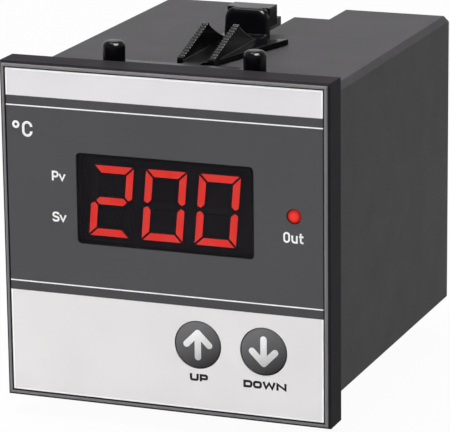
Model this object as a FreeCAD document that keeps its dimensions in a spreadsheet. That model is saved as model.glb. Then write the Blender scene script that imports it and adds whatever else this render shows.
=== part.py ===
import FreeCAD, Part
import math
import os
import re

import Sketcher
from FreeCAD import Rotation, Vector

# Frame: +X to the right as the user sees the front, +Y into the panel, +Z up.
# The origin is the middle of the bezel's rear face, which lies on the panel.

SIZES = {
    # square front frame and the seat for the printed film
    "bezel_size": 72.0,
    "bezel_depth": 7.0,
    "bezel_chamfer": 0.7,
    "bezel_plate": 2.2,
    "label_pocket": 0.5,
    "label_size": 69.2,
    "label_thickness": 0.35,
    "label_gap": 0.15,
    # the frame's collar, its snap lugs and the seat for the case
    "rebate_depth": 1.0,
    "rebate_gap": 0.1,
    "collar_length": 7.0,
    "collar_wall": 1.2,
    "collar_gap": 0.2,
    "lug_width": 8.0,
    "lug_length": 2.0,
    "lug_height": 0.7,
    "lug_from_end": 1.2,
    "lug_spacing": 40.0,
    # case
    "housing_width": 67.9,
    "housing_height": 66.0,
    "housing_length": 79.3,
    "housing_wall": 2.0,
    "housing_chamfer": 1.2,
    "rear_recess": 11.5,
    "rear_wall": 2.0,
    "notch_width": 19.6,
    "slot_width": 3.2,
    "slot_start": 8.0,
    "rib_height": 2.4,
    "rib_thickness": 1.3,
    "rib_gap": 0.15,
    "rib_start": 9.0,
    # display window, digits and their module
    "window_width": 39.0,
    "window_height": 19.35,
    "window_x": 0.3,
    "window_z": 8.15,
    "window_corner": 1.0,
    "lens_gap": 0.1,
    "lens_thickness": 0.6,
    "module_width": 37.0,
    "module_height": 17.6,
    "module_depth": 8.0,
    "module_gap": 0.2,
    "module_air": 0.1,
    "digit_height": 15.1,
    "digit_width": 8.7,
    "digit_pitch": 11.65,
    "digit_lean": 1.3,
    "digit_x": 0.15,
    "digit_z": 7.75,
    "segment_stroke": 1.9,
    "segment_gap": 0.35,
    "segment_depth": 0.6,
    "segment_proud": 0.03,
    # output lamp
    "led_x": 28.4,
    "led_z": 8.3,
    "led_diameter": 2.9,
    "led_proud": 0.3,
    "led_cap": 0.5,
    "led_length": 5.3,
    "led_flange": 3.6,
    "led_flange_thickness": 1.0,
    "led_lead": 0.5,
    "led_lead_pitch": 1.8,
    "led_gap": 0.15,
    # keys and their switches
    "up_x": 7.25,
    "down_x": 21.65,
    "key_z": -20.8,
    "key_diameter": 9.9,
    "key_gap": 0.2,
    "key_edge": 0.2,
    "key_flange": 11.6,
    "key_flange_thickness": 1.0,
    "key_flange_gap": 0.1,
    "key_stem": 4.0,
    "switch_size": 6.0,
    "switch_height": 3.5,
    "plunger_diameter": 3.4,
    "plunger_gap": 0.2,
    "plunger_height": 1.1,
    "plunger_depth": 0.8,
    "key_travel": 0.4,
    # circuit boards
    "board_thickness": 1.6,
    "board_gap": 0.2,
    "stake_boss": 4.4,
    "stake_pin": 2.4,
    "stake_head": 3.8,
    "stake_head_height": 0.8,
    "stake_hole_gap": 0.15,
    "stake_inset": 2.5,
    "main_board_rise": 10.0,
    "power_board_drop": 22.6,
    "deck_end_gap": 2.3,
    # pin headers between the boards
    "header_pin_count": 8.0,
    "header_spacing": 2.54,
    "header_height": 2.5,
    "header_pin": 0.6,
    "header_reach": 1.6,
    # mains transformer
    "core_width": 32.0,
    "core_height": 27.0,
    "core_stack": 13.0,
    "core_leg": 5.2,
    "winding_overhang": 5.0,
    "winding_gap": 0.15,
    "winding_corner": 1.7,
    "transformer_x": -12.0,
    "transformer_back": 28.0,
    # other parts on the boards
    "relay_width": 15.5,
    "relay_length": 19.0,
    "relay_height": 15.5,
    "relay_edge": 0.6,
    "relay_x": 14.0,
    "relay_block_gap": 6.5,
    "capacitor_diameter": 12.5,
    "capacitor_height": 20.0,
    "capacitor_edge": 0.8,
    "groove_depth": 0.5,
    "groove_width": 2.0,
    "groove_height": 2.5,
    "capacitor_x": 17.0,
    "capacitor_back": 21.0,
    "chip_length": 11.0,
    "chip_width": 7.4,
    "chip_height": 2.4,
    "chip_standoff": 0.3,
    "chip_lead_count": 8.0,
    "chip_lead_pitch": 1.27,
    "chip_lead": 0.42,
    "chip_lead_reach": 1.4,
    "chip_x": -14.0,
    "chip_back": 21.0,
    # rear screw terminals
    "terminal_count": 5.0,
    "terminal_pitch": 10.2,
    "barrier": 1.4,
    "barrier_height": 5.4,
    "block_height": 11.0,
    "block_on_board": 10.0,
    "block_stand_out": 3.0,
    "block_gap": 0.3,
    "contact_thickness": 1.0,
    "contact_gap": 0.3,
    "washer_size": 7.0,
    "washer_thickness": 0.8,
    "screw_diameter": 3.0,
    "screw_gap": 0.15,
    "screw_length": 9.0,
    "screw_head": 5.6,
    "screw_head_height": 2.2,
    "screw_slot": 0.8,
    "screw_slot_depth": 1.0,
    # mounting clamps, above and below the case
    "panel_gap": 3.4,
    "lower_clamp_back": 14.0,
    "clamp_lift": 0.15,
    "clamp_plate": 1.2,
    "peg_diameter": 4.7,
    "peg_spacing": 31.1,
    "peg_height": 6.0,
    "peg_round": 1.2,
    "crossbar": 2.0,
    "bridge_width": 4.0,
    "fin_spacing": 6.9,
    "fin_thickness": 1.3,
    "fin_start": 8.7,
    "fin_ramp": 15.2,
    "fin_back": 9.9,
    "fin_height": 5.85,
    "fin_toe": 0.3,
    "fin_hollow": 40.0,
    "fin_tooth_count": 14.0,
    "fin_tooth": 0.2,
    "tooth_lead": 0.15,
    "tail_width": 9.7,
    "shoulder_width": 17.0,
    "shoulder_start": 12.0,
    "shoulder_length": 16.4,
    "wing_length": 7.0,
    "wing_splay": 2.2,
    "wing_sweep": 1.5,
    "tab_start": 37.9,
    "tab_thickness": 2.0,
    "tab_height": 6.85,
    "tab_hook": 4.6,
    "tab_hook_height": 4.2,
    "tab_round": 1.4,
    "key_neck_gap": 0.3,
    "neck_length": 11.3,
    "foot_length": 10.0,
    "foot_width": 12.0,
    "foot_thickness": 1.6,
    "foot_gap": 0.3,
    "keyway_gap": 0.4,
}

doc = FreeCAD.newDocument("TemperatureController")
sheet = doc.addObject("Spreadsheet::Sheet", "Sizes")
for row, (size_name, size_value) in enumerate(SIZES.items(), start=1):
    sheet.set(f"A{row}", str(size_value))
    sheet.setAlias(f"A{row}", size_name)
doc.recompute()

# Places along the depth, as formulas on the sizes above.
POCKET_Y = "(label_pocket - bezel_depth)"
LABEL_Y = f"({POCKET_Y} - label_thickness)"
PLATE_Y = f"({POCKET_Y} + bezel_plate)"
LENS_SEAT_Y = f"({POCKET_Y} + lens_thickness)"
MODULE_Y = f"({LENS_SEAT_Y} + module_air)"
BOARD_Y = f"({MODULE_Y} + module_depth)"
BOARD_BACK_Y = f"({BOARD_Y} + board_thickness)"
DECK_Y = f"({BOARD_BACK_Y} + board_gap)"
SWITCH_Y = f"({BOARD_Y} - switch_height)"
PLUNGER_Y = f"({SWITCH_Y} - plunger_height)"
REAR_WALL_Y = "(housing_length - rear_recess - rear_wall)"
RECESS_Y = "(housing_length - rear_recess)"
DECK_END_Y = f"({REAR_WALL_Y} - deck_end_gap)"
BLOCK_Y = f"({DECK_END_Y} - block_on_board)"
BLOCK_FACE_Y = f"({RECESS_Y} + block_stand_out)"

# Inside of the case, the collar that plugs into it, and the front board in the collar.
INNER_WIDTH = "(housing_width - 2 * housing_wall)"
INNER_HEIGHT = "(housing_height - 2 * housing_wall)"
COLLAR_WIDTH = f"({INNER_WIDTH} - 2 * collar_gap)"
COLLAR_HEIGHT = f"({INNER_HEIGHT} - 2 * collar_gap)"
WELL_WIDTH = f"({COLLAR_WIDTH} - 2 * collar_wall)"
WELL_HEIGHT = f"({COLLAR_HEIGHT} - 2 * collar_wall)"
BOARD_WIDTH = f"({WELL_WIDTH} - 2 * board_gap)"
BOARD_HEIGHT = f"({WELL_HEIGHT} - 2 * board_gap)"
BLOCK_WIDTH = "(terminal_count * terminal_pitch + barrier)"

# Heights of the two decks, at the middle of their boards.
MAIN_Z, POWER_Z = "main_board_rise", "(-power_board_drop)"


def formula(text):
    """A formula on the sizes, written the way the document's expressions read it."""
    return re.sub(
        r"[a-z][a-z_]*",
        lambda word: f"Sizes.{word.group()}" if word.group() in SIZES else word.group(),
        text,
    )


def value(text):
    """What a formula gives now, in millimetres."""
    return float(sheet.evalExpression(formula(text)))


def count(name):
    return int(round(value(name)))


def bind(thing, **formulas):
    """Bind properties of an object to formulas; two underscores stand for a dot."""
    for path, text in formulas.items():
        thing.setExpression(path.replace("__", "."), formula(text))


def new_body(label, x="0", y="0", z="0"):
    body = doc.addObject("PartDesign::Body", label)
    body.Label = label
    bind(body, Placement__Base__x=x, Placement__Base__y=y, Placement__Base__z=z)
    return body


def new_sketch(body, name, role, offset):
    """A sketch on one of the body's own origin planes, moved along the plane's normal."""
    sketch = body.newObject("Sketcher::SketchObject", f"{body.Name}_{name}")
    plane = next(f for f in body.Origin.OriginFeatures if f.Role == role)
    sketch.AttachmentSupport = (plane, "")
    sketch.MapMode = "FlatFace"
    bind(sketch, AttachmentOffset__Base__z=offset)
    return sketch


def cross_sketch(body, name, y):
    """A sketch across the depth, seen from the front, at the given y."""
    return new_sketch(body, name, "XZ_Plane", f"-({y})")


def plan_sketch(body, name, z):
    return new_sketch(body, name, "XY_Plane", z)


def side_sketch(body, name, x):
    return new_sketch(body, name, "YZ_Plane", x)


def dimension(sketch, kind, text, *where):
    index = sketch.addConstraint(Sketcher.Constraint(kind, *where, value(text)))
    sketch.setExpression(f"Constraints[{index}]", formula(text))


def outline(sketch, points, arcs=None):
    """A closed outline through points given as formulas. arcs maps the number of a stretch
    to its radius and the side its centre lies on: 1 to the left, -1 to the right."""
    arcs = arcs or {}
    places = [Vector(value(u), value(v), 0) for u, v in points]
    stretches = []
    for i, start in enumerate(places):
        end = places[(i + 1) % len(places)]
        if i not in arcs:
            edge = sketch.addGeometry(Part.LineSegment(start, end))
            stretches.append((edge, 1, 2))
            continue
        radius, side = arcs[i]
        half = (end - start) * 0.5
        across = Vector(-half.y, half.x, 0).normalize()
        reach = math.sqrt(value(radius) ** 2 - half.Length**2)
        centre = start + half + across * (side * reach)
        first, last = (start, end) if side > 0 else (end, start)
        angles = [math.atan2(p.y - centre.y, p.x - centre.x) for p in (first, last)]
        circle_curve = Part.Circle(centre, Vector(0, 0, 1), value(radius))
        edge = sketch.addGeometry(Part.ArcOfCircle(circle_curve, *angles))
        stretches.append((edge, 1, 2) if side > 0 else (edge, 2, 1))
    for i, (edge, _, end_point) in enumerate(stretches):
        next_edge, next_start, _ = stretches[(i + 1) % len(stretches)]
        sketch.addConstraint(
            Sketcher.Constraint("Coincident", edge, end_point, next_edge, next_start)
        )
    for (edge, start_point, _), (u, v) in zip(stretches, points):
        dimension(sketch, "DistanceX", u, -1, 1, edge, start_point)
        dimension(sketch, "DistanceY", v, -1, 1, edge, start_point)
    for i, (radius, _) in arcs.items():
        dimension(sketch, "Radius", radius, stretches[i][0])


def rectangle(sketch, width, height, u="0", v="0"):
    left, right = f"({u}) - ({width}) / 2", f"({u}) + ({width}) / 2"
    low, high = f"({v}) - ({height}) / 2", f"({v}) + ({height}) / 2"
    outline(sketch, [(left, low), (right, low), (right, high), (left, high)])


def span(sketch, left, right, low, high):
    outline(sketch, [(left, low), (right, low), (right, high), (left, high)])


def chamfered_rectangle(sketch, width, height, cut):
    x, z = f"({width}) / 2", f"({height}) / 2"
    corners = []
    for sx, sz, along_first in ((-1, -1, 1), (1, -1, 0), (1, 1, 1), (-1, 1, 0)):
        beside = (f"{sx} * ({x})", f"{sz} * ({z} - ({cut}))")
        below = (f"{sx} * ({x} - ({cut}))", f"{sz} * ({z})")
        corners += [beside, below] if along_first else [below, beside]
    outline(sketch, corners)


def circle(sketch, diameter, u="0", v="0"):
    centre = Vector(value(u), value(v), 0)
    edge = sketch.addGeometry(Part.Circle(centre, Vector(0, 0, 1), value(diameter) / 2))
    dimension(sketch, "Diameter", diameter, edge)
    dimension(sketch, "DistanceX", u, -1, 1, edge, 3)
    dimension(sketch, "DistanceY", v, -1, 1, edge, 3)


def pad(body, sketch, length, reverse=False, both_ways=False):
    feature = body.newObject("PartDesign::Pad", f"{sketch.Name}_pad")
    feature.Profile = sketch
    feature.Reversed = reverse
    if both_ways:
        feature.SideType = "Symmetric"
    bind(feature, Length=length)
    return feature


def pad_back(body, sketch, length):
    """Raise a cross sketch towards the rear."""
    return pad(body, sketch, length, reverse=True)


def pocket(body, sketch, depth, reverse=False):
    """Cut against the sketch's normal: towards the rear from a cross sketch, down from a plan."""
    doc.recompute()
    before = body.Shape.Volume
    feature = body.newObject("PartDesign::Pocket", f"{sketch.Name}_pocket")
    feature.Profile = sketch
    feature.Reversed = reverse
    bind(feature, Length=depth)
    doc.recompute()
    if body.Shape.Volume >= before:
        raise ValueError(f"{feature.Name} cuts nothing")
    return feature


def revolve(body, sketch):
    """Turn a sketch once round its own upright axis."""
    feature = body.newObject("PartDesign::Revolution", f"{sketch.Name}_turned")
    feature.Profile = sketch
    feature.ReferenceAxis = (sketch, ["V_Axis"])
    feature.Angle = 360
    return feature


def dress(body, kind, test, **formulas):
    """A fillet or chamfer on the edges of the body so far that pass the test."""
    doc.recompute()
    base = body.Tip
    names = [f"Edge{i}" for i, e in enumerate(base.Shape.Edges, start=1) if test(e)]
    if not names:
        raise ValueError(f"no edge to dress on {body.Name}")
    feature = body.newObject(f"PartDesign::{kind}", f"{body.Name}_{kind.lower()}_{base.Name}")
    feature.Base = (base, names)
    bind(feature, **formulas)
    return feature


def runs_along(edge, axis):
    """Is this a straight edge along the given axis?"""
    if edge.Curve.TypeId != "Part::GeomLine":
        return False
    step = edge.Vertexes[-1].Point - edge.Vertexes[0].Point
    return step.Length - abs(step.dot(axis)) < 1e-6


def middle(edge):
    return edge.BoundBox.Center


def near(number, text):
    return abs(number - value(text)) < 1e-4


Y_AXIS, Z_AXIS = Vector(0, 1, 0), Vector(0, 0, 1)


def lug_spans():
    """The lugs' left and right ends on the collar's top and bottom."""
    for side in (-1, 1):
        at = f"{side} * lug_spacing / 2"
        yield f"{at} - lug_width / 2", f"{at} + lug_width / 2"


def board_levels():
    return MAIN_Z, POWER_Z


def block_floor(level):
    """The top of the board that carries a terminal block."""
    return f"({level} + board_thickness / 2)"


def build_housing():
    """One moulded case: open in front, with a recessed rear wall for the terminals, board
    guides inside and a slot above and below that each clamp's foot slides in."""
    body = new_body("housing")
    case = cross_sketch(body, "case", "-rebate_depth")
    chamfered_rectangle(case, "housing_width", "housing_height", "housing_chamfer")
    pad_back(body, case, "housing_length + rebate_depth")
    cavity = cross_sketch(body, "cavity", "-rebate_depth")
    rectangle(cavity, INNER_WIDTH, INNER_HEIGHT)
    pocket(body, cavity, f"{REAR_WALL_Y} + rebate_depth")
    recess = cross_sketch(body, "recess", RECESS_Y)
    rectangle(recess, INNER_WIDTH, INNER_HEIGHT)
    pocket(body, recess, "rear_recess")

    ribs = cross_sketch(body, "board_guides", "rib_start")
    for level in board_levels():
        for side in (-1, 1):
            for half in (-1, 1):
                across = f"{side} * ({INNER_WIDTH} - rib_height) / 2"
                off = "board_thickness / 2 + rib_gap + rib_thickness / 2"
                rectangle(ribs, "rib_height", "rib_thickness", across, f"{level} + {half} * ({off})")
    pad_back(body, ribs, f"{DECK_END_Y} - rib_start")

    windows = cross_sketch(body, "terminal_windows", REAR_WALL_Y)
    for level in board_levels():
        tall = "block_height + 2 * block_gap"
        at = f"{block_floor(level)} + block_height / 2"
        rectangle(windows, f"{BLOCK_WIDTH} + 2 * block_gap", tall, "0", at)
    pocket(body, windows, "rear_wall")

    keyways = cross_sketch(body, "keyways", REAR_WALL_Y)
    deep = "(foot_gap + foot_thickness + keyway_gap)"
    for side in (-1, 1):
        at = f"{side} * ({INNER_HEIGHT} - {deep}) / 2"
        rectangle(keyways, "foot_width + 2 * keyway_gap", deep, "0", at)
    pocket(body, keyways, "rear_wall")

    for name, side in (("upper", 1), ("lower", -1)):
        track = plan_sketch(body, f"{name}_track", f"{side} * housing_height / 2")
        s, n = "slot_width / 2", "notch_width / 2"
        right = [(s, "slot_start"), (s, RECESS_Y), (n, RECESS_Y), (n, "housing_length")]
        left = [(f"-{u}", v) for u, v in reversed(right)]
        outline(track, right + left)
        pocket(body, track, "housing_wall", reverse=side < 0)
        catches = plan_sketch(body, f"{name}_catches", f"{side} * {INNER_HEIGHT} / 2")
        for low, high in lug_spans():
            front = "collar_length - lug_from_end - lug_length - collar_gap"
            span(catches, f"{low} - collar_gap", f"{high} + collar_gap",
                 front, "collar_length - lug_from_end + collar_gap")
        pocket(body, catches, "lug_height", reverse=side > 0)
    return body


def build_bezel():
    """The square front frame: film pocket, openings, a rebate that takes the end of the case,
    a collar with snap lugs, and four bosses with staked pins for the front board."""
    body = new_body("front_bezel")
    frame = cross_sketch(body, "frame", "-bezel_depth")
    rectangle(frame, "bezel_size", "bezel_size")
    pad_back(body, frame, "bezel_depth")
    dress(body, "Chamfer", lambda e: near(middle(e).y, "-bezel_depth"), Size="bezel_chamfer")

    rebate = cross_sketch(body, "rebate", "-rebate_depth")
    chamfered_rectangle(rebate, "housing_width + 2 * rebate_gap",
                        "housing_height + 2 * rebate_gap", "housing_chamfer")
    pocket(body, rebate, "rebate_depth")
    collar = cross_sketch(body, "collar", "-rebate_depth")
    rectangle(collar, COLLAR_WIDTH, COLLAR_HEIGHT)
    pad_back(body, collar, "collar_length + rebate_depth")
    well = cross_sketch(body, "well", PLATE_Y)
    rectangle(well, WELL_WIDTH, WELL_HEIGHT)
    pocket(body, well, f"collar_length - {PLATE_Y}")

    seat = cross_sketch(body, "film_seat", "-bezel_depth")
    rectangle(seat, "label_size + 2 * label_gap", "label_size + 2 * label_gap")
    pocket(body, seat, "label_pocket")
    lens_seat = cross_sketch(body, "lens_seat", POCKET_Y)
    rectangle(lens_seat, "window_width", "window_height", "window_x", "window_z")
    pocket(body, lens_seat, "lens_thickness")
    openings = cross_sketch(body, "openings", POCKET_Y)
    rectangle(openings, "module_width + 2 * module_gap", "module_height + 2 * module_gap",
              "window_x", "window_z")
    circle(openings, "led_diameter + 2 * led_gap", "led_x", "led_z")
    for key_x in ("up_x", "down_x"):
        circle(openings, "key_diameter + 2 * key_gap", key_x, "key_z")
    pocket(body, openings, "bezel_plate")

    for name, start, diameter, length in (
        ("bosses", PLATE_Y, "stake_boss", f"{BOARD_Y} - {PLATE_Y}"),
        ("pins", BOARD_Y, "stake_pin", "board_thickness"),
        ("stakes", BOARD_BACK_Y, "stake_head", "stake_head_height"),
    ):
        posts = cross_sketch(body, name, start)
        for sx, sz in ((-1, -1), (1, -1), (1, 1), (-1, 1)):
            circle(posts, diameter, f"{sx} * ({BOARD_WIDTH} / 2 - stake_inset)",
                   f"{sz} * ({BOARD_HEIGHT} / 2 - stake_inset)")
        pad_back(body, posts, length)
    for name, side in (("upper", 1), ("lower", -1)):
        lugs = plan_sketch(body, f"{name}_lugs", f"{side} * {COLLAR_HEIGHT} / 2")
        for low, high in lug_spans():
            span(lugs, low, high, "collar_length - lug_from_end - lug_length",
                 "collar_length - lug_from_end")
        pad(body, lugs, "lug_height", reverse=side < 0)
    return body


def build_label():
    """The printed film, with the window, the lamp's hole and the two key holes cut out."""
    body = new_body("front_label")
    film = cross_sketch(body, "film", LABEL_Y)
    rectangle(film, "label_size", "label_size")
    rectangle(film, "window_width", "window_height", "window_x", "window_z")
    circle(film, "led_diameter + 2 * led_gap", "led_x", "led_z")
    for key_x in ("up_x", "down_x"):
        circle(film, "key_diameter + 2 * key_gap", key_x, "key_z")
    pad_back(body, film, "label_thickness")

    def window_corners(e):
        return runs_along(e, Y_AXIS) and near(abs(middle(e).x - value("window_x")), "window_width / 2")

    dress(body, "Fillet", window_corners, Radius="window_corner")
    return body


def build_lens():
    body = new_body("display_window")
    lens = cross_sketch(body, "lens", POCKET_Y)
    rectangle(lens, "window_width - 2 * lens_gap", "window_height - 2 * lens_gap",
              "window_x", "window_z")
    pad_back(body, lens, "lens_thickness")
    dress(body, "Fillet", lambda e: runs_along(e, Y_AXIS), Radius="window_corner - lens_gap")
    return body


def digit_segments():
    """Corner points of a digit's seven segments, by letter, in a box with its lower left at 0."""
    wide, tall = value("digit_width"), value("digit_height")
    stroke = value("segment_stroke")
    slip = value("segment_gap") / math.sqrt(2)
    half = tall / 2
    top = [(slip, tall), (wide - slip, tall), (wide - stroke - slip, tall - stroke),
           (stroke + slip, tall - stroke)]
    right = [(wide, tall - slip), (wide, half + stroke / 2), (wide - stroke / 2, half + slip),
             (wide - stroke, half + stroke / 2 + slip), (wide - stroke, tall - stroke - slip)]
    bar = [(stroke / 2 + slip, half), (stroke + slip, half + stroke / 2),
           (wide - stroke - slip, half + stroke / 2), (wide - stroke / 2 - slip, half),
           (wide - stroke - slip, half - stroke / 2), (stroke + slip, half - stroke / 2)]

    def flip_over(points):
        return [(u, tall - v) for u, v in points]

    def flip_across(points):
        return [(wide - u, v) for u, v in points]

    return {"a": top, "b": right, "c": flip_over(right), "d": flip_over(top),
            "e": flip_across(flip_over(right)), "f": flip_across(right), "g": bar}


def segment_solids(lit_by_digit):
    """Light pipes for the chosen segments of the three leaning digits."""
    wide, tall = value("digit_width"), value("digit_height")
    front = value(f"{MODULE_Y} - segment_proud")
    solids = []
    for place, letters in enumerate(lit_by_digit):
        left = value("digit_x") + (place - 1) * value("digit_pitch") - wide / 2
        low = value("digit_z") - tall / 2
        for letter in letters:
            corners = []
            for u, v in digit_segments()[letter]:
                lean = value("digit_lean") * (v / tall - 0.5)
                corners.append(Vector(left + u + lean, front, low + v))
            face = Part.Face(Part.makePolygon(corners + corners[:1]))
            depth = value("segment_depth + segment_proud")
            solids.append(face.extrude(Vector(0, depth, 0)))
    return Part.makeCompound(solids)


def build_display():
    """The three-digit module and its light pipes, some lit to read 200 and the rest dark."""
    lit = doc.addObject("Part::Feature", "segments_lit")
    lit.Shape = segment_solids(("abged", "abcdef", "abcdef"))
    dark = doc.addObject("Part::Feature", "segments_dark")
    dark.Shape = segment_solids(("cf", "g", "g"))
    block = doc.addObject("Part::Box", "module_block")
    bind(block, Length="module_width", Width="module_depth", Height="module_height",
         Placement__Base__x="window_x - module_width / 2", Placement__Base__y=MODULE_Y,
         Placement__Base__z="window_z - module_height / 2")
    pipes = doc.addObject("Part::Compound", "light_pipes")
    pipes.Links = [lit, dark]
    module = doc.addObject("Part::Cut", "display_module")
    module.Base = block
    module.Tool = pipes
    return [lit, dark, module]


def build_led():
    """A round lamp with its flange and two leads down to the front board."""
    body = new_body("output_led", "led_x", "0", "led_z")
    nose = f"({LABEL_Y} - led_proud)"
    tail = f"({nose} + led_length)"
    rim, flange = "led_diameter / 2", "led_flange / 2"
    shelf = f"{tail} - led_flange_thickness"
    lamp = plan_sketch(body, "lamp", "0")
    outline(lamp, [("0", nose), (rim, f"{nose} + led_cap"), (rim, shelf), (flange, shelf),
                   (flange, tail), ("0", tail)],
            {0: (f"(({rim})^2 + led_cap^2) / (2 * led_cap)", 1)})
    revolve(body, lamp)
    leads = cross_sketch(body, "leads", tail)
    for side in (-1, 1):
        rectangle(leads, "led_lead", "led_lead", f"{side} * led_lead_pitch / 2")
    pad_back(body, leads, f"{BOARD_Y} - {tail}")
    return body


def build_key(name, key_x):
    """One round key with its flange and stem, the switch behind it and the switch's plunger."""
    key = new_body(f"{name}_button", key_x, "0", "key_z")
    profile = plan_sketch(key, "profile", "0")
    rim, flange, stem = "key_diameter / 2", "key_flange / 2", "key_stem / 2"
    shelf = f"({PLATE_Y} + key_flange_gap)"
    back = f"({shelf} + key_flange_thickness)"
    outline(profile, [("0", LABEL_Y), (f"{rim} - key_edge", LABEL_Y), (rim, f"{LABEL_Y} + key_edge"),
                      (rim, shelf), (flange, shelf), (flange, back), (stem, back),
                      (stem, PLUNGER_Y), ("0", PLUNGER_Y)])
    revolve(key, profile)

    switch = new_body(f"{name}_switch", key_x, "0", "key_z")
    case = cross_sketch(switch, "case", SWITCH_Y)
    rectangle(case, "switch_size", "switch_size")
    pad_back(switch, case, "switch_height")
    hole = cross_sketch(switch, "hole", SWITCH_Y)
    circle(hole, "plunger_diameter + 2 * plunger_gap")
    pocket(switch, hole, "plunger_depth + key_travel + plunger_gap")

    plunger = new_body(f"{name}_plunger", key_x, "0", "key_z")
    pin = cross_sketch(plunger, "pin", PLUNGER_Y)
    circle(pin, "plunger_diameter")
    pad_back(plunger, pin, "plunger_height + plunger_depth")
    return [key, switch, plunger]


def build_boards():
    """The front board behind the display and two decks from it to the rear terminals."""
    front = new_body("display_board")
    sheet_outline = cross_sketch(front, "outline", BOARD_Y)
    rectangle(sheet_outline, BOARD_WIDTH, BOARD_HEIGHT)
    for sx, sz in ((-1, -1), (1, -1), (1, 1), (-1, 1)):
        circle(sheet_outline, "stake_pin + 2 * stake_hole_gap",
               f"{sx} * ({BOARD_WIDTH} / 2 - stake_inset)",
               f"{sz} * ({BOARD_HEIGHT} / 2 - stake_inset)")
    pad_back(front, sheet_outline, "board_thickness")
    boards = [front]
    for label, level in (("main_board", MAIN_Z), ("power_board", POWER_Z)):
        board = new_body(label)
        deck = plan_sketch(board, "deck", f"{level} - board_thickness / 2")
        span(deck, f"-{BOARD_WIDTH} / 2", f"{BOARD_WIDTH} / 2", DECK_Y, DECK_END_Y)
        pad(board, deck, "board_thickness")
        boards.append(board)
    return boards


def build_header(label, level):
    """A strip against the front board with bent pins that stand on a deck."""
    body = new_body(label)
    strip = plan_sketch(body, "strip", block_floor(level))
    long = "header_pin_count * header_spacing"
    span(strip, f"-{long} / 2", f"{long} / 2", BOARD_BACK_Y, f"{BOARD_BACK_Y} + header_height")
    pad(body, strip, "header_height")
    first = "-(header_pin_count - 1) * header_spacing / 2 - header_pin / 2"
    pin = side_sketch(body, "pin", first)
    back, out = f"{BOARD_BACK_Y} + header_height", "header_reach"
    low, mid = block_floor(level), f"{block_floor(level)} + header_height / 2"
    outline(pin, [(f"{back} + {out}", low), (f"{back} + {out}", f"{mid} + header_pin / 2"),
                  (back, f"{mid} + header_pin / 2"), (back, f"{mid} - header_pin / 2"),
                  (f"{back} + {out} - header_pin", f"{mid} - header_pin / 2"),
                  (f"{back} + {out} - header_pin", low)])
    one = pad(body, pin, "header_pin")
    row_of_pins = body.newObject("PartDesign::LinearPattern", f"{label}_row")
    row_of_pins.Originals = [one]
    row_of_pins.Direction = (pin, ["N_Axis"])
    row_of_pins.Occurrences = count("header_pin_count")
    bind(row_of_pins, Length="(header_pin_count - 1) * header_spacing")
    body.Tip = row_of_pins
    return body


def build_transformer():
    """Stacked iron core with two windows, and the wound bobbin round its middle leg."""
    place = ("transformer_x", f"{DECK_Y} + transformer_back", block_floor(POWER_Z))
    core = new_body("transformer_core", *place)
    plates = cross_sketch(core, "plates", "-core_stack / 2")
    rectangle(plates, "core_width", "core_height", "0", "core_height / 2")
    pad_back(core, plates, "core_stack")
    room = "((core_width - 4 * core_leg) / 2)"
    windows = cross_sketch(core, "windows", "-core_stack / 2")
    for side in (-1, 1):
        rectangle(windows, room, "core_height - 2 * core_leg",
                  f"{side} * (core_leg + {room} / 2)", "core_height / 2")
    pocket(core, windows, "core_stack")

    winding = new_body("transformer_winding", *place)
    tall = "(core_height - 2 * core_leg - 2 * winding_gap)"
    ring = plan_sketch(winding, "ring", "core_leg + winding_gap")
    rectangle(ring, f"2 * core_leg + 2 * {room} - 2 * winding_gap",
              "core_stack + 2 * winding_overhang")
    rectangle(ring, "2 * core_leg + 2 * winding_gap", "core_stack + 2 * winding_gap")
    pad(winding, ring, tall)

    def outer_corners(e):
        return runs_along(e, Z_AXIS) and abs(middle(e).y) > value("(core_stack + winding_overhang) / 2")

    dress(winding, "Fillet", outer_corners, Radius="winding_corner")
    return [core, winding]


def build_relay():
    y = f"{BLOCK_Y} - relay_block_gap - relay_length / 2"
    body = new_body("relay", "relay_x", y, block_floor(MAIN_Z))
    case = plan_sketch(body, "case", "0")
    rectangle(case, "relay_width", "relay_length")
    pad(body, case, "relay_height")
    dress(body, "Chamfer", lambda e: not near(middle(e).z, "0"), Size="relay_edge")
    return body


def build_capacitor():
    """An upright can with a sloped top edge and the crimped groove near its foot."""
    y = f"{DECK_Y} + capacitor_back"
    body = new_body("supply_capacitor", "capacitor_x", y, block_floor(POWER_Z))
    can = side_sketch(body, "can", "0")
    rim = "capacitor_diameter / 2"
    outline(can, [("0", "0"), (rim, "0"), (rim, "groove_height - groove_width / 2"),
                  (f"{rim} - groove_depth", "groove_height"),
                  (rim, "groove_height + groove_width / 2"),
                  (rim, "capacitor_height - capacitor_edge"),
                  (f"{rim} - capacitor_edge", "capacitor_height"), ("0", "capacitor_height")])
    revolve(body, can)
    return body


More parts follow.
